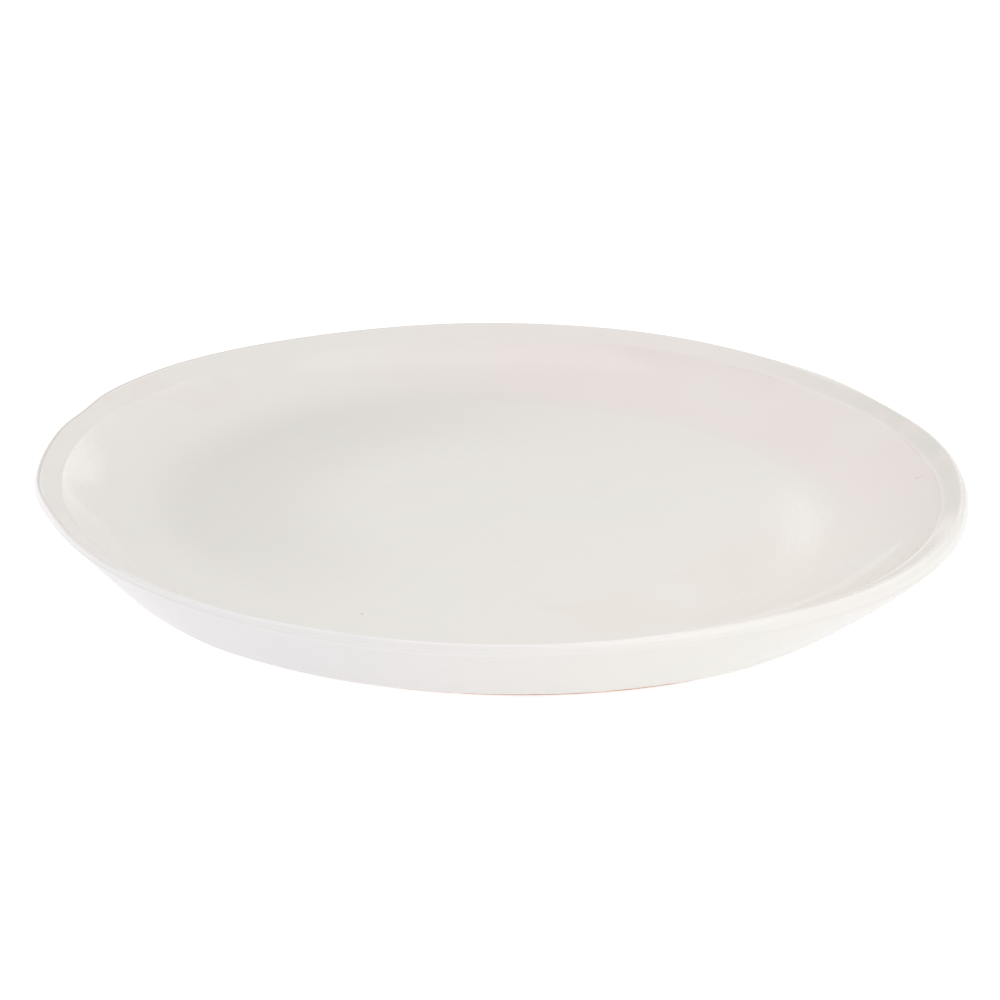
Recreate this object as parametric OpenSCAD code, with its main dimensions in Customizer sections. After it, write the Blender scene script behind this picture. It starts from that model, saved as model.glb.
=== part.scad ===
// Round serving platter in glazed earthenware.
// Every sub-part is turned about +Z, the axis of the potter's wheel.
// Outlines are points [radius, height]. A slope is an angle above horizontal, in degrees.
// Origin: centre of the foot, on the surface that the platter stands on.

/* [Overall] */
// Largest diameter, across the lip with its glaze
platter_d = 380; // [378:1:384]
// Height of the top of the lip above the table
platter_h = 31; // [30.5:0.5:34]
// Thickness of each coat of glaze
glaze_t = 0.5; // [0.3:0.1:0.7]

/* [Rim] */
// Diameter of the crease, where the sloping band of the rim meets the inner wall
crease_d = 358.4; // [354:0.2:362]
// Slope of the band, falling towards the floor
band_slope = 28; // [22:1:32]
// Radius of the crisp upper edge of the lip
arris_r = 1.2; // [0.8:0.1:1.4]
// Distance from the top of the lip down to the line of the outer wall
lip_drop = 4.4; // [3.8:0.1:5.6]

/* [Well] */
// Height of the clay floor above the table
floor_h = 7.6; // [7:0.1:8]
// Slope of the inner wall below the crease
wall_slope = 43; // [38:1:44]
// Radius of the broad cove that runs from the floor almost up to the crease
cove_r = 56; // [40:1:56]

/* [Foot] */
// Diameter of the foot, at the table
foot_d = 326; // [320:1:332]
// Radial width of the foot ring
foot_w = 12; // [9:0.5:13]
// Height of the shallow recess inside the foot ring
recess_h = 2.6; // [2:0.1:3.4]
// Radius of the worn edges of the foot
worn_r = 0.8; // [0.4:0.1:1]
// Height of the bare clay below the glaze of the outer wall
bare_h = 1; // [0.8:0.1:1.6]

/* [Hidden] */

bare_clay = [0.78, 0.50, 0.34];
warm_white = [0.90, 0.89, 0.86];
cool_white = [0.92, 0.92, 0.92];
cream_white = [0.88, 0.86, 0.82];

// Steps along each rounded stretch of an outline
arc_steps = 8;
// Slope at which the crisp edge of the lip runs into its rounded outer face, from horizontal
face_turn = 50;
// Radius of the round under the lip, as a share of lip_drop
under_share = 0.6;
// Share of the outer wall, from the foot up, that lies below the rim band
rim_joint = 0.72;

// The clay under the glaze
clay_r = platter_d / 2 - glaze_t;
clay_top = platter_h - glaze_t;
foot_r = foot_d / 2;
foot_in_r = foot_r - foot_w;
foot_top = recess_h + glaze_t;

// The outer wall is a cone from the foot to the widest radius of the clay
outer_rise = clay_top - lip_drop;
outer_slope = atan2(outer_rise, clay_r - foot_r);

// The lip: a crisp edge, a rounded outer face and a round that runs into the outer wall
under_r = lip_drop * under_share;
under_h = under_r * (1 / cos(outer_slope) - tan(outer_slope));
edge_h = arris_r * (1 - sin(face_turn));
face_r = (lip_drop - under_h - edge_h) / sin(face_turn);
widest_h = clay_top - edge_h - face_r * sin(face_turn);
under_c = [clay_r - under_r, widest_h];
face_c = [clay_r - face_r, widest_h];
arris_c = face_c + (face_r - arris_r) * [cos(face_turn), sin(face_turn)];

// The band falls from the lip to the crease above the inner wall
band_top = arris_c + arris_r * [-sin(band_slope), cos(band_slope)];
band_w = band_top[0] - crease_d / 2;
crease = band_top - band_w * [1, tan(band_slope)];

// The cove is tangent to the floor and to the inner wall
cove_rise = cove_r * (1 - cos(wall_slope));
wall_run = (crease[1] - floor_h - cove_rise) / tan(wall_slope);
cove_c = [crease[0] - wall_run - cove_r * sin(wall_slope), floor_h + cove_r];

// Points on a circle of radius r about c, from angle a to angle b
function arc(c, r, a, b) = [
    for (i = [0:arc_steps])
        let (angle = a + (b - a) * i / arc_steps)
            c + r * [cos(angle), sin(angle)]
];

function without_first(points) = [for (i = [1:len(points) - 1]) points[i]];

// In the outlines below, t is the depth of glaze that lies over the clay

// The crease between the inner wall and the band
function crease_point(t) =
    let (middle = (wall_slope + band_slope) / 2, half = (wall_slope - band_slope) / 2)
        crease + t / cos(half) * [-sin(middle), cos(middle)];

// The inner face from the edge of the floor, up the cove and the wall, to the crease
function inner_face(t) = concat(arc(cove_c, cove_r - t, -90, wall_slope - 90), [crease_point(t)]);

// From the band over the crisp edge of the lip, and down its face to the widest radius
function lip_top(t) = concat(
    arc(arris_c, arris_r + t, band_slope + 90, face_turn),
    without_first(arc(face_c, face_r + t, face_turn, 0))
);

// The round under the lip, from the widest radius to the outer wall
function lip_under(t) = arc(under_c, under_r + t, 0, outer_slope - 90);

// A point of the outer wall at a height
function outer_wall(h, t) = [foot_r + h / tan(outer_slope) + t / sin(outer_slope), h];

function reversed(points) = [for (i = [len(points) - 1:-1:0]) points[i]];

module turned(outline) {
    rotate_extrude($fn = 180)
        polygon(outline);
}

// The disc that food lies on, out to the start of the cove
module floor_slab() {
    color(bare_clay)
        translate([0, 0, foot_top])
            cylinder(r = cove_c[0], h = floor_h - foot_top, $fn = 180);
}

// The flaring ring of the wall, between the cove inside and the cone outside
module side_wall() {
    color(bare_clay)
        turned(concat(
            [[cove_c[0], foot_top]],
            inner_face(0),
            [outer_wall(outer_rise * rim_joint, 0), outer_wall(foot_top, 0)]
        ));
}

// The thick band laid on the wall, with its rounded lip
module rim_band() {
    color(bare_clay)
        turned(concat(
            [crease],
            lip_top(0),
            without_first(lip_under(0)),
            [outer_wall(outer_rise * rim_joint, 0)]
        ));
}

// The low ring that the platter stands on, worn round at both edges
module foot_ring() {
    worn_run = worn_r * tan(outer_slope / 2);
    color(bare_clay)
        turned(concat(
            [[foot_in_r, foot_top]],
            arc([foot_in_r + worn_r, worn_r], worn_r, 180, 270),
            arc([foot_r - worn_run, worn_r], worn_r, -90, outer_slope - 90),
            [outer_wall(foot_top, 0)]
        ));
}

// One coat over the floor, the inner wall, the band and the lip down to its widest radius
module inside_glaze() {
    color(warm_white)
        turned(concat(
            [[0, floor_h]],
            inner_face(0),
            lip_top(0),
            reversed(lip_top(glaze_t)),
            reversed(inner_face(glaze_t)),
            [[0, floor_h + glaze_t]]
        ));
}

// The coat of the outer wall, from under the lip to just above the foot
module outside_glaze() {
    color(cool_white)
        turned(concat(
            reversed(lip_under(0)),
            lip_under(glaze_t),
            [outer_wall(bare_h, glaze_t), outer_wall(bare_h, 0)]
        ));
}

// The coat of the recess, turned down over the inner side of the foot ring
module underside_glaze() {
    color(cream_white)
        turned([
            [0, recess_h],
            [foot_in_r - glaze_t, recess_h],
            [foot_in_r - glaze_t, bare_h],
            [foot_in_r, bare_h],
            [foot_in_r, foot_top],
            [0, foot_top]
        ]);
}

floor_slab();
side_wall();
rim_band();
foot_ring();
inside_glaze();
outside_glaze();
underside_glaze();
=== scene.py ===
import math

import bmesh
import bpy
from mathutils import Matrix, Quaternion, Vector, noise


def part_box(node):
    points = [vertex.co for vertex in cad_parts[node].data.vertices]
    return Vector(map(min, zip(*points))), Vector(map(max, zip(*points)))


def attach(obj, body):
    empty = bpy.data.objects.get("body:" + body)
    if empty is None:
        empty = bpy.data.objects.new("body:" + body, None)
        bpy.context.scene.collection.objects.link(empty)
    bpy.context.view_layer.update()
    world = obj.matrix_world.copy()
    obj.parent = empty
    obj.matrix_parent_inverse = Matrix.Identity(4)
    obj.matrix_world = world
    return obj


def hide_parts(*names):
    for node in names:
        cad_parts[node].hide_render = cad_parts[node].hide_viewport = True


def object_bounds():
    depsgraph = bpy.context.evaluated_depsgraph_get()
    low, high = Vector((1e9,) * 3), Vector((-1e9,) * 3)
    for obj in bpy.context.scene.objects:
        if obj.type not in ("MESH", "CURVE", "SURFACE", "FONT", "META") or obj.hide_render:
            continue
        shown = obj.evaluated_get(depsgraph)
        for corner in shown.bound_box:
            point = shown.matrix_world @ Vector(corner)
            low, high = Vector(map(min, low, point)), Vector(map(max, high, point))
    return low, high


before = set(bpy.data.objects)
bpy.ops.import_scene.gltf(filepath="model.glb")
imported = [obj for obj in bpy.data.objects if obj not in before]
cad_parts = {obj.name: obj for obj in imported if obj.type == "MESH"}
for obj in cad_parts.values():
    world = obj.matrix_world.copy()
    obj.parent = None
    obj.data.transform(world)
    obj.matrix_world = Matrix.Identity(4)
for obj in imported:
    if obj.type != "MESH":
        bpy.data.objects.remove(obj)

# A hand-formed serving platter in glazed earthenware.
# Lengths are in millimetres, apart from what goes straight into a shader's socket and the sizes and
# places of the table and the lights, which are in metres. Angles are in degrees, counted round +Z
# from +X: the near side of the platter is at -90 and its right end at 0.

MM = 0.001
cad_low, cad_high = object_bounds()

# ---------------------------------------------------------------- dimensions

RIM_R = cad_high.x / MM
# The height of an even rim, which leaves room for the swells
RIM_TOP = cad_high.z / MM - 1.0
GLAZE_T = 0.5
# The crease between the inner wall and the band of the rim
CREASE_R = 179.2
CREASE_ROUND = 0.5
BAND_SLOPE = 28
FLOOR_H = 7.6
# The cove climbs from the floor to the slope of the wall, and its curve sets in over a first share
WALL_SLOPE = 43
COVE_EASE = 0.45
COVE_STEPS = 48
FOOT_R = 163
FOOT_IN_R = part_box("underside_glaze")[1].x / MM
FOOT_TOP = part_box("foot_ring")[1].z / MM
RECESS_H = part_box("underside_glaze")[1].z / MM - GLAZE_T
WORN_R = 0.8
# The lip: its depth, the share of it in the round underneath, and the slope where its crisp edge
# runs into its face
LIP_DROP = 3.8
LIP_UNDER = 0.6
FACE_TURN = 50
# Share of the outer wall, from the foot up, that lies below the rim band
RIM_JOINT = 0.72

# Swells round the platter: where and how wide in degrees, and how many millimetres
RIM_HEIGHT = [
    (-63, 24, 1.6),
    (-90, 28, 0.6),
    (70, 20, 1.0),
    (120, 20, -1.2),
    (28, 14, -0.8),
    (-124, 10, -0.4),
]
RIM_REACH = [
    (162, 5, -1.9),
    (174, 11, -1.3),
    (-168, 6, 1.1),
    (14, 9, 0.8),
    (40, 7, 1.2),
    (-16, 14, 0.5),
    (-62, 16, -1.4),
    (-160, 12, -1.1),
]
FOOT_REACH = [(-38, 16, -2.2), (-118, 16, 0.7), (-131, 7, 0.9)]
LIP_DEPTH = [(-130, 24, -1.6), (-79, 17, -2.0)]
BARE_CLAY = [(-126, 24, -0.7), (-84, 12, 0.35)]

# The bead of glaze along the crease
BEAD_H = 0.22
BEAD_W = 0.9
# How many points the pools and ridges of a skin take to fade out at its end
FADE_POINTS = 8

# How far on either side of a point its bend is counted, and in how many points at most
BEND_REACH = 1.2
BEND_POINTS = 12
# A turn of more degrees than this at one point is a corner of the shell, not a bend of the skin
CORNER = 40
# An edge with a sharper turn than this, in degrees, isn't shaded smooth
SHARP = 45
# Points nearer together than this are one point, and a point nearer to the axis than this is on it
SAME_POINT = 1e-4
ON_AXIS = 1e-6

# The radii between which the marks of the crease and the wall fade out, and those between which the
# colour of the lip's roll sets in
CREASE_END = (183.5, 185)
LIP_ROLL = (186.2, 187.5)
# How far behind the axis the painted shade that lies along the cove has its centre
COVE_SHADE_BACK = 14
# Marks in the glaze: where they are as angle, radius and height, and how large they are
IRON_SPOT = (-116, 119.5, 8.1, 0.7)
WRINKLES = [(7.5, 175.2, 22.6, 2.4), (-4, 175.8, 23.2, 1.3)]

# ---------------------------------------------------------------- the section at an angle


def sin(angle):
    return math.sin(math.radians(angle))


def cos(angle):
    return math.cos(math.radians(angle))


def tan(angle):
    return math.tan(math.radians(angle))


def toward(angle):
    """A step of length 1 in a section, at an angle above the horizontal."""
    return Vector((cos(angle), sin(angle)))


def wander(angle, turns, seed):
    """A smooth value from about -1 to 1 that wanders round the platter and closes on itself."""
    return noise.noise(Vector((turns * cos(angle), turns * sin(angle), seed)))


def swells(angle, bumps):
    """The sum of the bumps at an angle, each fading on both sides of its centre."""
    total = 0
    for centre, width, height in bumps:
        away = (angle - centre + 180) % 360 - 180
        total += height * math.exp(-((away / width) ** 2))
    return total


def cove_slope(share):
    """The slope of the cove at a share of its length."""
    eased = min(share, COVE_EASE) ** 2 / (2 * COVE_EASE)
    even = max(share - COVE_EASE, 0)
    return WALL_SLOPE * (eased + even) / (1 - COVE_EASE / 2)


class Section:
    """The platter's section at one angle, as key points [radius, height] of its clay."""

    def __init__(self, angle):
        self.angle = angle
        self.clay_r = RIM_R - GLAZE_T + 0.3 * wander(angle, 3, 2.0) + swells(angle, RIM_REACH)
        self.clay_top = RIM_TOP - GLAZE_T + 0.15 * wander(angle, 4, 1.0) + swells(angle, RIM_HEIGHT)
        self.foot_r = FOOT_R + 0.3 * wander(angle, 2, 3.0) + swells(angle, FOOT_REACH)
        # How far the outer wall bows out halfway up, and how high the bare clay reaches on it
        self.bow = 0.3 + 0.5 * cos(angle + 30)
        bare_h = 0.55 + 0.6 * wander(angle, 9, 5.0) + 0.25 * wander(angle, 40, 6.0)
        self.bare_h = max(bare_h + swells(angle, BARE_CLAY), 0.2)

        # Apart from its bow the outer wall is a line, from the foot to a point drop below the lip's top
        drop = LIP_DROP + 1.8 * cos(angle + 15) + 0.1 * wander(angle, 6, 4.0)
        drop += swells(angle, LIP_DEPTH)
        rise = self.clay_top - drop
        self.slope = math.degrees(math.atan2(rise, self.clay_r - self.foot_r))

        # The lip is a small round on a broad one, and a third round that runs into the wall
        run = 1 / cos(self.slope) - tan(self.slope)
        self.arris_r = 0.7 + 0.12 * drop
        self.under_r = drop * LIP_UNDER
        small = self.arris_r * (1 - sin(FACE_TURN))
        self.face_r = (drop - self.under_r * run - small) / sin(FACE_TURN)
        widest = self.clay_top - small - self.face_r * sin(FACE_TURN)
        self.under_c = Vector((self.clay_r - self.under_r, widest))
        self.face_c = Vector((self.clay_r - self.face_r, widest))
        self.arris_c = self.face_c + (self.face_r - self.arris_r) * toward(FACE_TURN)
        self.under_end = widest - self.under_r * cos(self.slope)

        # The bow makes the top of the wall a little steeper than the line
        lean = 1 / tan(self.slope) - 4 * self.bow / (self.under_end * sin(self.slope))
        self.top_slope = math.degrees(math.atan2(1, lean))

        # The band falls from the lip to the crease above the inner wall
        self.band_slope = BAND_SLOPE + 2 * wander(angle, 3, 7.0)
        band_top = self.arris_c + self.arris_r * toward(self.band_slope + 90)
        band_w = band_top.x - CREASE_R - 0.4 * wander(angle, 4, 8.0)
        self.crease = band_top - band_w * Vector((1, tan(self.band_slope)))

        # The cove climbs from the floor to the crease, slowly at first and then in an even curve
        slopes = [cove_slope((i + 0.5) / COVE_STEPS) for i in range(COVE_STEPS)]
        self.cove_step = (self.crease.y - FLOOR_H) / sum(sin(slope) for slope in slopes)
        self.floor_r = self.crease.x - self.cove_step * sum(cos(slope) for slope in slopes)


def arc(centre, radius, start, end, steps):
    """Points on a circle, from one angle to another."""
    return [centre + radius * toward(start + (end - start) * i / steps) for i in range(steps + 1)]


def line(start, end, steps):
    """Points from start to end, both included."""
    return [start.lerp(end, i / steps) for i in range(steps + 1)]


def joined(*stretches):
    """One outline of several stretches, with the shared end points taken once."""
    points = []
    for stretch in stretches:
        for point in stretch:
            if not points or (point - points[-1]).length > SAME_POINT:
                points.append(point)
    return points


# In the stretches below, t is the depth of glaze that lies over the clay


def cove(s, t, every):
    """Points of the cove, from the floor up to just under the crease."""
    points = []
    clay = Vector((s.floor_r, FLOOR_H))
    for i in range(COVE_STEPS):
        if i % every == 0:
            points.append(clay + t * toward(cove_slope(i / COVE_STEPS) + 90))
        clay = clay + s.cove_step * toward(cove_slope((i + 0.5) / COVE_STEPS))
    return points


def crease_point(s, t):
    middle = (WALL_SLOPE + s.band_slope) / 2
    half = (WALL_SLOPE - s.band_slope) / 2
    return s.crease + t / cos(half) * toward(middle + 90)


def band_end(s, t):
    return s.arris_c + (s.arris_r + t) * toward(s.band_slope + 90)


def lip_top(s, t, steps):
    """From the band over the crisp edge of the lip and down its face to the widest radius."""
    return joined(
        arc(s.arris_c, s.arris_r + t, s.band_slope + 90, FACE_TURN, steps),
        arc(s.face_c, s.face_r + t, FACE_TURN, 0, steps),
    )


def lip_under(s, t, steps):
    """From the widest radius down and round to the slope of the outer wall's top."""
    return arc(s.under_c, s.under_r + t, 0, s.top_slope - 90, steps)


def outer_wall(s, height, t):
    """A point of the bowed outer wall at a height, t outside the clay."""
    share = height / s.under_end
    bow = s.bow * 4 * share * (1 - share)
    radius = s.foot_r + height / tan(s.slope) + (t + bow) / sin(s.slope)
    return Vector((radius, height))


def wall_stretch(s, top, bottom, t, steps):
    heights = [top + (bottom - top) * i / steps for i in range(steps + 1)]
    return [outer_wall(s, h, t) for h in heights]


# ---------------------------------------------------------------- outlines of the pieces


def slab_outline(s):
    edge = s.floor_r
    return joined(
        line(Vector((0, FOOT_TOP)), Vector((edge, FOOT_TOP)), 3),
        line(Vector((edge, FLOOR_H)), Vector((0, FLOOR_H)), 3),
    )


def wall_outline(s):
    return joined(
        [Vector((s.floor_r, FOOT_TOP))],
        cove(s, 0, 4),
        [s.crease],
        wall_stretch(s, s.under_end * RIM_JOINT, FOOT_TOP, 0, 6),
    )


def rim_outline(s):
    return joined(
        line(s.crease, band_end(s, 0), 3),
        lip_top(s, 0, 5),
        lip_under(s, 0, 4),
        wall_stretch(s, s.under_end, s.under_end * RIM_JOINT, 0, 3)[1:],
    )


def foot_outline(s):
    worn_run = WORN_R * tan(s.slope / 2)
    return joined(
        line(Vector((FOOT_IN_R, FOOT_TOP)), Vector((FOOT_IN_R, WORN_R)), 2),
        arc(Vector((FOOT_IN_R + WORN_R, WORN_R)), WORN_R, 180, 270, 5),
        arc(Vector((s.foot_r - worn_run, WORN_R)), WORN_R, -90, s.slope - 90, 5),
        wall_stretch(s, WORN_R, FOOT_TOP, 0, 3),
    )


def pooled(point, along, angle):
    """How far the glaze's skin stands off its even depth: broad pools and faint turning ridges."""
    x = point.x * cos(angle)
    y = point.x * sin(angle)
    pools = 0.10 * noise.noise(Vector((x / 48, y / 48, point.y / 30 + 11)))
    dimples = 0.02 * noise.noise(Vector((x / 9, y / 9, point.y / 9 + 23)))
    ridges = 0.008 * noise.noise(Vector((1.4 * cos(angle), 1.4 * sin(angle), along / 3.2)))
    return pools + dimples + ridges * min(1, point.x / 90)


def poured(points, angle, both_ends=False):
    """A skin of glaze with its pools and ridges, which fade out at its last point or at both ends."""
    skin = []
    along = 0
    for i, point in enumerate(points):
        before = points[max(i - 1, 0)]
        after = points[min(i + 1, len(points) - 1)]
        along += (point - before).length
        way = (after - before).normalized()
        out = Vector((-way.y, way.x))
        to_end = len(points) - 1 - i
        if both_ends:
            to_end = min(i, to_end)
        fade = min(1, to_end / FADE_POINTS)
        skin.append(point + out * pooled(point, along, angle) * fade)
    return skin


def beaded(s, points):
    """The first of the band's skin, with the bead of glaze that hangs over the crease."""
    height = BEAD_H * (0.7 - 0.5 * sin(s.angle) + 0.6 * wander(s.angle, 7, 12.0))
    skin = []
    for point in points:
        along = (point - points[0]).length
        swell = height * math.exp(-((along / BEAD_W - 0.6) ** 2))
        skin.append(point + swell * toward(s.band_slope + 90))
    skin[-1] = points[-1]
    return skin


def inside_outline(s):
    """The coat from the middle of the floor to the widest radius of the lip, and back on the clay."""
    top = FLOOR_H + GLAZE_T
    crease = crease_point(s, GLAZE_T)
    before = crease - CREASE_ROUND * toward(WALL_SLOPE)
    after = crease + 3 * BEAD_W * toward(s.band_slope)
    skin = joined(
        line(Vector((0, top)), Vector((s.floor_r, top)), 80),
        cove(s, GLAZE_T, 1),
        [before],
        beaded(s, line(crease, after, 10)),
        line(after, band_end(s, GLAZE_T), 6),
        lip_top(s, GLAZE_T, 10),
    )
    clay = joined(
        line(Vector((0, FLOOR_H)), Vector((s.floor_r, FLOOR_H)), 3),
        cove(s, 0, 4),
        [s.crease],
        line(s.crease, band_end(s, 0), 3),
        lip_top(s, 0, 5),
    )
    return poured(skin, s.angle) + clay[::-1]


def outside_outline(s):
    """The coat from under the lip down to its rounded end above the bare foot."""
    end = s.bare_h
    full = end + 0.9
    skin = joined(
        lip_under(s, GLAZE_T, 12),
        wall_stretch(s, s.under_end, full, GLAZE_T, 26)[1:],
        [outer_wall(s, end + 0.35, GLAZE_T * 0.85)],
        [outer_wall(s, end + 0.1, GLAZE_T * 0.5)],
        [outer_wall(s, end, 0)],
    )
    clay = joined(
        lip_under(s, 0, 4),
        wall_stretch(s, s.under_end, full, 0, 6)[1:],
    )
    return poured(skin, s.angle, both_ends=True) + clay[::-1]


def underside_outline(s):
    """The coat of the recess, turned down over the inner side of the foot."""
    wall = FOOT_IN_R - GLAZE_T
    round_r = 0.8
    end = 0.9 + 0.3 * wander(s.angle, 9, 9.0)
    skin = joined(
        line(Vector((0, RECESS_H)), Vector((wall - round_r, RECESS_H)), 50),
        arc(Vector((wall - round_r, RECESS_H - round_r)), round_r, 90, 0, 4),
        [Vector((wall, end + 0.3)), Vector((wall + GLAZE_T * 0.4, end + 0.05))],
        [Vector((FOOT_IN_R, end))],
    )
    clay = line(Vector((FOOT_IN_R, FOOT_TOP)), Vector((0, FOOT_TOP)), 2)
    return poured(skin, s.angle) + clay


# ---------------------------------------------------------------- meshes


def bends(outline):
    """How many degrees the skin bends outward close to each point of its outline."""
    turns = []
    along = [0]
    for i in range(1, len(outline) - 1):
        coming = outline[i] - outline[i - 1]
        going = outline[i + 1] - outline[i]
        along.append(along[-1] + coming.length)
        turn = math.degrees(coming.angle_signed(going, 0))
        turns.append(turn if abs(turn) < CORNER else 0)
    along.append(along[-1] + (outline[-1] - outline[-2]).length)
    turns = [0] + turns + [0]
    sums = []
    for i in range(len(outline)):
        total = 0
        for k in range(max(i - BEND_POINTS, 0), min(i + BEND_POINTS + 1, len(outline))):
            near = 1 - abs(along[k] - along[i]) / BEND_REACH
            total += turns[k] * max(near, 0)
        sums.append(total)
    return sums


def shell_faces(rings, poles):
    """The faces between neighbouring rings. Where a ring has None, its point is the pole there."""
    faces = []
    for i, here in enumerate(rings):
        there = rings[(i + 1) % len(rings)]
        for j in range(len(here)):
            k = (j + 1) % len(here)
            if here[j] is None and here[k] is None:
                continue
            if here[j] is None:
                faces.append([poles[j], there[k], here[k]])
            elif here[k] is None:
                faces.append([here[j], there[j], poles[k]])
            else:
                faces.append([here[j], there[j], there[k], here[k]])
    return faces


def mesh_from(name, outline_of, segments):
    """A closed ring or disc that follows a section's outline round the axis."""
    verts = []
    rings = []
    bent = []
    for i in range(segments):
        angle = 360 * i / segments
        outline = outline_of(Section(angle))
        ring = []
        for point, bend in zip(outline, bends(outline)):
            if point.x < ON_AXIS:
                ring.append(None)
                continue
            ring.append(len(verts))
            verts.append(Vector((point.x * cos(angle), point.x * sin(angle), point.y)) * MM)
            bent.append(bend)
        rings.append(ring)
    outline = outline_of(Section(0))
    assert all(len(ring) == len(outline) for ring in rings), name
    poles = {}
    for j, point in enumerate(outline):
        if point.x < ON_AXIS:
            poles[j] = len(verts)
            verts.append(Vector((0, 0, point.y * MM)))
            bent.append(0)

    mesh = bpy.data.meshes.new(name)
    mesh.from_pydata(verts, [], shell_faces(rings, poles))
    mesh.attributes.new("bend", "FLOAT", "POINT").data.foreach_set("value", bent)
    work = bmesh.new()
    work.from_mesh(mesh)
    bmesh.ops.recalc_face_normals(work, faces=work.faces)
    work.to_mesh(mesh)
    work.free()
    mesh.shade_smooth()
    mesh.set_sharp_from_angle(angle=math.radians(SHARP))
    piece = bpy.data.objects.new(name, mesh)
    bpy.context.scene.collection.objects.link(piece)
    return piece


def place(name, node, outline_of, segments, material):
    """A piece in its place: its mesh, its finish, the body it rides on and the node it stands for."""
    piece = mesh_from(name, outline_of, segments)
    piece.data.materials.append(material)
    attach(piece, "root")
    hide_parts(node)


# ---------------------------------------------------------------- materials


def node(tree, kind, inputs=None, **settings):
    """A shader node with its settings, and a value or a link on each named input."""
    made = tree.nodes.new(kind)
    for key, value in settings.items():
        setattr(made, key, value)
    for key, value in (inputs or {}).items():
        socket = made.inputs[key]
        if isinstance(value, bpy.types.NodeSocket):
            tree.links.new(value, socket)
        else:
            socket.default_value = value
    return made


def reckon(tree, kind, a, b=0.0):
    """The result of a Math node of a kind such as ADD or MULTIPLY."""
    return node(tree, "ShaderNodeMath", {0: a, 1: b}, operation=kind).outputs[0]


def stretched(tree, value, low, high, to_low=0.0, to_high=1.0):
    """value, mapped from low..high on to another range and held inside it."""
    made = node(
        tree,
        "ShaderNodeMapRange",
        {"Value": value, "From Min": low, "From Max": high, "To Min": to_low, "To Max": to_high},
        interpolation_type="SMOOTHSTEP",
    )
    return made.outputs["Result"]


def blend(tree, share, a, b):
    """Colour a, going to colour b as share goes from 0 to 1."""
    made = node(tree, "ShaderNodeMix", data_type="RGBA")
    for index, value in ((0, share), (6, a), (7, b)):
        socket = made.inputs[index]
        if isinstance(value, bpy.types.NodeSocket):
            tree.links.new(value, socket)
        else:
            socket.default_value = value
    return made.outputs[2]


def cloud(tree, vector, scale, detail=2.0, rough=0.5):
    """A noise texture's value, from 0 to 1."""
    inputs = {"Vector": vector, "Scale": scale, "Detail": detail, "Roughness": rough}
    return node(tree, "ShaderNodeTexNoise", inputs).outputs[0]


class Surface:
    """Where a point of the surface is: its position, its radius and its direction from the axis."""

    def __init__(self, tree):
        self.position = node(tree, "ShaderNodeTexCoord").outputs["Object"]
        parts = node(tree, "ShaderNodeSeparateXYZ", {0: self.position})
        self.x = parts.outputs[0]
        self.y = parts.outputs[1]
        self.z = parts.outputs[2]
        squares = reckon(
            tree,
            "ADD",
            reckon(tree, "MULTIPLY", self.x, self.x),
            reckon(tree, "MULTIPLY", self.y, self.y),
        )
        self.radius = reckon(tree, "MAXIMUM", reckon(tree, "SQRT", squares), 0.001)

    def turned(self, tree, turns, per_metre):
        """Coordinates in which a noise becomes streaks that run round the axis."""
        across = reckon(tree, "MULTIPLY", reckon(tree, "DIVIDE", self.x, self.radius), turns)
        deep = reckon(tree, "MULTIPLY", reckon(tree, "DIVIDE", self.y, self.radius), turns)
        out = reckon(tree, "ADD", self.radius, reckon(tree, "MULTIPLY", self.z, 0.7))
        out = reckon(tree, "MULTIPLY", out, per_metre)
        return node(tree, "ShaderNodeCombineXYZ", {0: across, 1: deep, 2: out}).outputs[0]

    def facing(self, tree, angle, low):
        """1 at an angle round the axis, falling to 0 where the cosine of the turn away is low."""
        along_x = reckon(tree, "MULTIPLY", reckon(tree, "DIVIDE", self.x, self.radius), cos(angle))
        along_y = reckon(tree, "MULTIPLY", reckon(tree, "DIVIDE", self.y, self.radius), sin(angle))
        return stretched(tree, reckon(tree, "ADD", along_x, along_y), low, 1.0)


def new_material(name):
    material = bpy.data.materials.new(name)
    material.use_nodes = True
    tree = material.node_tree
    tree.nodes.clear()
    return material, tree


def finish_material(tree, inputs):
    shader = node(tree, "ShaderNodeBsdfPrincipled", inputs)
    node(tree, "ShaderNodeOutputMaterial", {"Surface": shader.outputs[0]})


# Colours that come through the white glaze, and colours that stand in for light: the grey also paints
# shade, the lilac and cream tints paint cool and warm light on the outside, and the pale white paints
# light and highlights
ROSY = (0.82, 0.73, 0.71, 1)
PEACH = (0.82, 0.745, 0.685, 1)
GREY_AND_SHADE = (0.70, 0.675, 0.63, 1)
COOL_LIGHT_TINT = (0.735, 0.715, 0.728, 1)
WARM_LIGHT_TINT = (0.80, 0.78, 0.735, 1)
PAINTED_LIGHT = (0.91, 0.885, 0.885, 1)
BROKEN = (0.78, 0.655, 0.57, 1)
BARE = (0.54, 0.44, 0.365, 1)
CRAWLED = (0.60, 0.44, 0.41, 1)
IRON = (0.40, 0.24, 0.15, 1)


def cloudy(tree, at, scale, low, high):
    """Soft clouds, from 0 to 1."""
    return stretched(tree, cloud(tree, at.position, scale, 3), low, high)


def product(tree, *values):
    """All the values multiplied together."""
    total = values[0]
    for value in values[1:]:
        total = reckon(tree, "MULTIPLY", total, value)
    return total


def rest_of(tree, share):
    """What is left of 1 after a share."""
    return reckon(tree, "SUBTRACT", 1.0, share)


def beyond(tree, at, start, end):
    """0 up to a radius and 1 beyond another, both in millimetres."""
    return stretched(tree, at.radius, start * MM, end * MM)


def distance(tree, at, point):
    """How many metres away a point is that is given in millimetres."""
    inputs = {0: at.position, 1: Vector(point) * MM}
    return node(tree, "ShaderNodeVectorMath", inputs, operation="DISTANCE").outputs["Value"]


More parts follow.
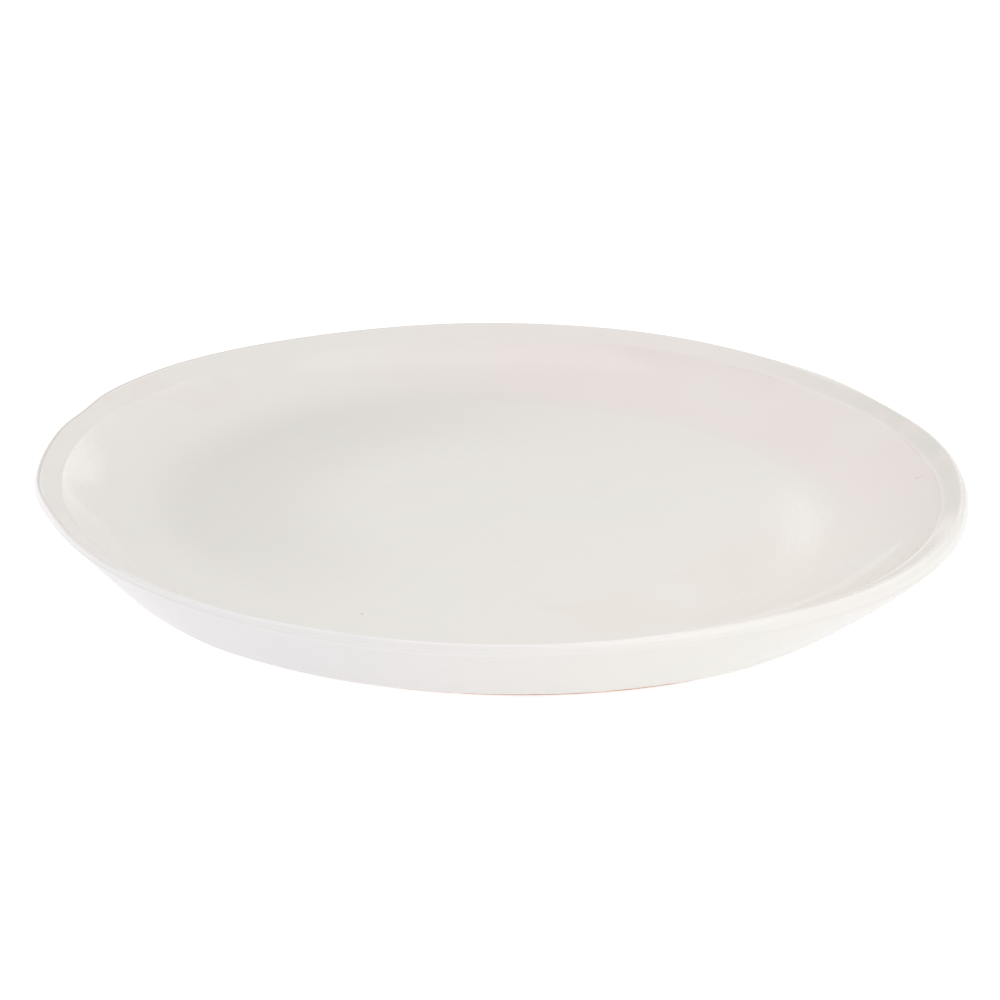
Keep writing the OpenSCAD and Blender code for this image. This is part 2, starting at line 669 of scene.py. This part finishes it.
def brush_marks(tree, at):
    """Fine marks of the brush: straight across the middle of the floor, turning round it outside."""
    round_marks = cloud(tree, at.turned(tree, 2.2, 240), 1.0, 5, 0.62)
    across = reckon(tree, "MULTIPLY", at.x, 11)
    slant = reckon(tree, "MULTIPLY", at.x, 9)
    along = reckon(tree, "ADD", reckon(tree, "MULTIPLY", at.y, 230), slant)
    straight = node(tree, "ShaderNodeCombineXYZ", {0: across, 1: along}).outputs[0]
    straight_marks = cloud(tree, straight, 1.0, 5, 0.62)
    share = stretched(tree, at.radius, 0.06, 0.13)
    return reckon(
        tree,
        "ADD",
        reckon(tree, "MULTIPLY", round_marks, share),
        reckon(tree, "MULTIPLY", straight_marks, rest_of(tree, share)),
    )


def spot(tree, at, angle, radius, height, size):
    """The distance from a point of the glaze, as a share of a size."""
    centre = (radius * cos(angle), radius * sin(angle), height)
    return reckon(tree, "DIVIDE", distance(tree, at, centre), size * MM)


def wrinkle(tree, at, angle, radius, height, size):
    """A faint hooked crack where the glaze has crawled: the near side of a small uneven ring."""
    uneven = reckon(tree, "MULTIPLY", cloud(tree, at.position, 420, 2), 0.8)
    away = reckon(tree, "ADD", spot(tree, at, angle, radius, height, size), uneven)
    ring = reckon(tree, "ABSOLUTE", reckon(tree, "SUBTRACT", away, 1.4))
    thin = stretched(tree, ring, 0.04, 0.22, 1.0, 0.0)
    nearer = spot(tree, at, angle - 0.7, radius - 1.0, height - 1.0, size)
    return product(tree, thin, stretched(tree, nearer, 0.5, 1.1, 1.0, 0.0))


def outside_colour(tree, at, marks, body):
    """White with painted cool light at the left and painted warm light at the right, with faint brush
    marks.
    """
    # Painted light: a cool lilac tint at the left and a warm cream tint at the right
    colour = blend(tree, product(tree, at.facing(tree, -145, 0.3), 0.9), body, COOL_LIGHT_TINT)
    colour = blend(tree, product(tree, at.facing(tree, -30, 0.5), 0.7), colour, WARM_LIGHT_TINT)
    streaks = stretched(tree, marks, 0.35, 0.72)
    return blend(tree, product(tree, cloudy(tree, at, 22, 0.4, 0.65), streaks, 0.30), colour, ROSY)


def underside_colour(tree, at, marks, body):
    """A thinner coat, with rosy clouds along the brush marks and clay that comes through by the foot."""
    thin = product(tree, cloudy(tree, at, 16, 0.36, 0.66), stretched(tree, marks, 0.3, 0.66), 0.6)
    colour = blend(tree, thin, body, ROSY)
    by_foot = product(tree, beyond(tree, at, 138, 150), cloudy(tree, at, 60, 0.38, 0.62), 0.4)
    return blend(tree, by_foot, colour, BROKEN)


def inside_colour(tree, at, marks, body):
    """Brushed white with the colours that come through it inside, painted shade along the cove, and the
    outside's white on the lip with painted light and shade.
    """
    streaks = stretched(tree, marks, 0.35, 0.72)
    colour = blend(tree, product(tree, cloudy(tree, at, 13, 0.35, 0.7), streaks, 0.2), body, ROSY)

    # Rosy clouds on the wall, broad ones at the far right and faint ones at the left
    band = beyond(tree, at, CREASE_R - 0.7, CREASE_R + 1.8)
    far_wall = product(tree, beyond(tree, at, 128, 150), rest_of(tree, product(tree, band, 0.35)))
    rosy = product(tree, far_wall, at.facing(tree, 48, 0.15), cloudy(tree, at, 9, 0.28, 0.58), 0.7)
    colour = blend(tree, rosy, colour, ROSY)
    left_wall = product(tree, at.facing(tree, 160, 0.70), beyond(tree, at, 150, 170))
    faint = product(tree, left_wall, cloudy(tree, at, 34, 0.48, 0.62), 0.35)
    colour = blend(tree, faint, colour, ROSY)

    # A greyer band at the right, with rosy clouds in it
    right = at.facing(tree, 8, 0.60)
    right_band = product(tree, right, beyond(tree, at, CREASE_R - 0.2, CREASE_R + 2.3))
    colour = blend(tree, product(tree, right_band, 0.82), colour, GREY_AND_SHADE)
    clouds = product(tree, right_band, cloudy(tree, at, 40, 0.42, 0.62), 0.6)
    colour = blend(tree, clouds, colour, ROSY)

    # Peach along the brush marks, at the front right of the floor
    front = product(tree, at.facing(tree, -48, 0.45), beyond(tree, at, 60, 110))
    brushed = stretched(tree, marks, 0.0, 0.55)
    peach = product(tree, front, cloudy(tree, at, 12, 0.34, 0.60), brushed, 0.66)
    colour = blend(tree, peach, colour, PEACH)

    # Painted shade: a grey band along the cove, at the left and behind, where the rims shade the floor
    away = distance(tree, at, (0, COVE_SHADE_BACK, FLOOR_H))
    into_cove = stretched(tree, away, 0.052, 0.106)
    out_of_cove = stretched(tree, away, 0.124, 0.154, 1.0, 0.0)
    painted_cove_shade = product(tree, at.facing(tree, 158, -0.08), into_cove, out_of_cove, 0.5)
    colour = blend(tree, painted_cove_shade, colour, GREY_AND_SHADE)

    # The roll of the lip: the outside's white, with painted light that is strongest at the left and
    # painted shade that greys the right end
    painted_roll_light = reckon(tree, "ADD", 0.15, product(tree, at.facing(tree, -145, 0.3), 0.5))
    roll = blend(tree, painted_roll_light, outside_colour(tree, at, marks, body), PAINTED_LIGHT)
    roll = blend(tree, product(tree, at.facing(tree, 14, 0.88), 0.85), roll, GREY_AND_SHADE)
    return blend(tree, beyond(tree, at, *LIP_ROLL), colour, roll)


def at_bends(tree, at, colour, under_lip_light):
    """The colour where the skin bends outward: thin over the clay, with painted highlight at the front
    and painted light under the lip.
    """
    bend = node(tree, "ShaderNodeAttribute", attribute_name="bend").outputs["Fac"]

    # Broken patches of clay colour along the crease, most of them at the right
    right = reckon(tree, "ADD", 0.04, product(tree, at.facing(tree, 10, 0.5), 0.75))
    inner = rest_of(tree, beyond(tree, at, *CREASE_END))
    patchy = cloudy(tree, at, 60, 0.36, 0.62)
    crease = product(tree, stretched(tree, bend, 12, 26), inner, right, patchy)
    colour = blend(tree, crease, colour, BROKEN)

    # A brown line on the edge of the lip, strongest at the left and behind
    front = at.facing(tree, -98, 0.5)
    left = reckon(tree, "ADD", 0.26, product(tree, at.facing(tree, 120, -0.2), 0.26))
    edge = product(tree, stretched(tree, bend, 28, 42), rest_of(tree, front), left)
    colour = blend(tree, edge, colour, BARE)

    # Painted highlight in patches on the edge at the front, and painted light along the line under the
    # lip, where shade falls
    patches = cloudy(tree, at, 40, 0.32, 0.56)
    pale = product(tree, stretched(tree, bend, 26, 40), front, patches, 0.45)
    colour = blend(tree, pale, colour, PAINTED_LIGHT)
    if under_lip_light > 0:
        painted_light_under_lip = product(tree, stretched(tree, bend, 4, 14), at.facing(tree, -98, 0.8), under_lip_light)
        colour = blend(tree, painted_light_under_lip, colour, PAINTED_LIGHT)
    return colour


def fire_marks(tree, at, colour):
    """A few scattered specks of iron, one larger spot of it, and the wrinkles."""
    specks = node(tree, "ShaderNodeTexVoronoi", {"Vector": at.position, "Scale": 60.0})
    speck = stretched(tree, specks.outputs["Distance"], 0.012, 0.024, 0.35, 0.0)
    chosen = node(tree, "ShaderNodeSeparateColor", {0: specks.outputs["Color"]}).outputs[0]
    few = reckon(tree, "GREATER_THAN", chosen, 0.85)
    colour = blend(tree, product(tree, speck, few), colour, IRON)
    iron = stretched(tree, spot(tree, at, *IRON_SPOT), 0.5, 1.0, 0.6, 0.0)
    colour = blend(tree, iron, colour, IRON)
    for mark in WRINKLES:
        colour = blend(tree, product(tree, wrinkle(tree, at, *mark), 0.6), colour, CRAWLED)
    return colour


def glaze_material(name, colour_of, body, under_lip_light=0.0):
    """Brushed white glaze with a gloss coat. The last argument is how strong the painted light is that
    fills the shade under the lip.
    """
    material, tree = new_material(name)
    at = Surface(tree)
    marks = brush_marks(tree, at)
    colour = colour_of(tree, at, marks, body)
    colour = at_bends(tree, at, colour, under_lip_light)
    colour = fire_marks(tree, at, colour)

    # The coat has a fine peel, with coarser ripples at the left end of the wall
    peel = cloud(tree, at.position, 480, 2, 0.4)
    left_wall = product(tree, at.facing(tree, 165, 0.8), beyond(tree, at, 160, 173))
    rippled = product(tree, left_wall, rest_of(tree, beyond(tree, at, *CREASE_END)), 2.5)
    peel = reckon(tree, "ADD", peel, product(tree, cloud(tree, at.position, 300, 1), rippled))
    skin = node(tree, "ShaderNodeBump", {"Height": peel, "Strength": 0.28, "Distance": 0.0003})
    ridge = node(tree, "ShaderNodeBump", {"Height": marks, "Strength": 0.05, "Distance": 0.0006})
    finish_material(
        tree,
        {
            "Base Color": colour,
            "Roughness": stretched(tree, marks, 0.3, 0.7, 0.36, 0.48),
            "Specular IOR Level": 0.3,
            "Normal": ridge.outputs[0],
            "Coat Weight": 0.55,
            "Coat Roughness": 0.06,
            "Coat IOR": 1.5,
            "Coat Normal": skin.outputs[0],
        },
    )
    return material


def clay_material(name):
    """Bare fired terracotta: a fine grain with lighter specks, and darker and lighter grog."""
    material, tree = new_material(name)
    at = Surface(tree)
    tone = stretched(tree, cloud(tree, at.position, 30, 4), 0.35, 0.65)
    grain = cloud(tree, at.position, 900, 3, 0.6)
    colour = blend(tree, tone, (0.50, 0.235, 0.125, 1), (0.62, 0.33, 0.19, 1))
    colour = blend(tree, stretched(tree, grain, 0.52, 0.75, 0.0, 0.45), colour, (0.74, 0.52, 0.36, 1))
    grog = node(tree, "ShaderNodeTexVoronoi", {"Vector": at.position, "Scale": 650.0})
    dark = stretched(tree, grog.outputs["Distance"], 0.12, 0.26, 0.5, 0.0)
    colour = blend(tree, dark, colour, (0.26, 0.12, 0.07, 1))
    bump = node(tree, "ShaderNodeBump", {"Height": grain, "Strength": 0.5, "Distance": 0.0004})
    rough = stretched(tree, grain, 0.3, 0.7, 0.82, 0.96)
    finish_material(
        tree,
        {
            "Base Color": colour,
            "Roughness": rough,
            "Specular IOR Level": 0.25,
            "Normal": bump.outputs[0],
        },
    )
    return material


def table_material(name):
    """A plain pale light table: matt milky acrylic that glows, with the faintest grain."""
    material, tree = new_material(name)
    at = Surface(tree)
    grain = stretched(tree, cloud(tree, at.position, 60, 3), 0.3, 0.7)
    colour = blend(tree, grain, (0.27, 0.27, 0.27, 1), (0.29, 0.29, 0.29, 1))
    finish_material(
        tree,
        {
            "Base Color": colour,
            "Roughness": 0.85,
            "Specular IOR Level": 0.2,
            "Emission Color": (1.0, 1.0, 1.0, 1),
            "Emission Strength": TABLE_GLOW,
        },
    )
    return material


# ---------------------------------------------------------------- the platter

clay = clay_material("terracotta_clay")
inside_white = glaze_material("inside_white_glaze", inside_colour, (0.82, 0.795, 0.752, 1))
outside_white = glaze_material("outside_white_glaze", outside_colour, (0.785, 0.76, 0.725, 1), 0.3)
underside_white = glaze_material("underside_white_glaze", underside_colour, (0.78, 0.75, 0.70, 1))

place("clay_floor_slab", "floor_slab", slab_outline, 180, clay)
place("clay_side_wall", "side_wall", wall_outline, 180, clay)
place("clay_rim_band", "rim_band", rim_outline, 180, clay)
place("clay_foot_ring", "foot_ring", foot_outline, 360, clay)
place("glaze_inside", "inside_glaze", inside_outline, 360, inside_white)
place("glaze_outside", "outside_glaze", outside_outline, 360, outside_white)
place("glaze_underside", "underside_glaze", underside_outline, 180, underside_white)

# ---------------------------------------------------------------- floor, light and camera

TABLE_SIZE = 8.0
TABLE_GLOW = 0.81
SURROUND_GLOW = 0.69
# The camera's distance from the middle of the foot, its angle above the table, its roll and its
# lens, and the point that it looks at
CAMERA_D = 1520
CAMERA_UP = 21.41
CAMERA_ROLL = 1.37
CAMERA_LENS = 132.7
AIM = Vector((-0.5, 0, 15.3))


def table_top():
    """The pale light table, which isn't part of the object."""
    half = TABLE_SIZE / 2
    mesh = bpy.data.meshes.new("table_top")
    corners = [(-half, -half, 0), (half, -half, 0), (half, half, 0), (-half, half, 0)]
    mesh.from_pydata(corners, [], [(0, 1, 2, 3)])
    table = bpy.data.objects.new("table_top", mesh)
    mesh.materials.append(table_material("pale_table"))
    bpy.context.scene.collection.objects.link(table)


def soft_light(name, angle, up, away, wide, tall, power):
    """A white softbox that faces the platter, at an angle round it and an angle above the table."""
    lamp = bpy.data.lights.new(name, "AREA")
    lamp.shape = "RECTANGLE"
    lamp.size = wide
    lamp.size_y = tall
    lamp.energy = power
    light = bpy.data.objects.new(name, lamp)
    way = Vector((cos(angle) * cos(up), sin(angle) * cos(up), sin(up)))
    light.location = way * away
    light.rotation_mode = "QUATERNION"
    light.rotation_quaternion = way.to_track_quat("Z", "Y")
    bpy.context.scene.collection.objects.link(light)


def camera():
    data = bpy.data.cameras.new("camera")
    data.lens = CAMERA_LENS
    data.clip_end = 20
    eye = bpy.data.objects.new("camera", data)
    stand = Vector((0, -cos(CAMERA_UP), sin(CAMERA_UP))) * CAMERA_D
    eye.location = stand * MM
    eye.rotation_mode = "QUATERNION"
    look = (stand - AIM).to_track_quat("Z", "Y")
    eye.rotation_quaternion = look @ Quaternion((0, 0, 1), math.radians(CAMERA_ROLL))
    bpy.context.scene.collection.objects.link(eye)
    bpy.context.scene.camera = eye


def surround():
    """A pale surround that lights the platter evenly, with colours shown as they are."""
    sky = bpy.data.worlds.new("studio")
    sky.use_nodes = True
    background = sky.node_tree.nodes["Background"]
    background.inputs["Color"].default_value = (1.0, 1.0, 1.0, 1)
    background.inputs["Strength"].default_value = SURROUND_GLOW
    bpy.context.scene.world = sky
    bpy.context.scene.view_settings.view_transform = "Standard"


table_top()
surround()
soft_light("front_softbox", -55, 27, 1.3, 1.3, 0.5, 1.6)
soft_light("near_softbox", -47, 40, 0.7, 0.6, 0.4, 0.65)
soft_light("edge_softbox", 155, 15, 1.2, 1.5, 0.56, 3.5)
soft_light("gloss_softbox", 69.5, 12, 1.3, 0.44, 0.5, 0.56)
soft_light("low_softbox", 84, 5, 1.3, 0.3, 0.14, 0.08)
soft_light("back_softbox", 30, 35, 1.3, 0.7, 0.5, 0.9)
soft_light("top_softbox", 0, 85, 1.3, 0.9, 0.9, 2.4)
camera()
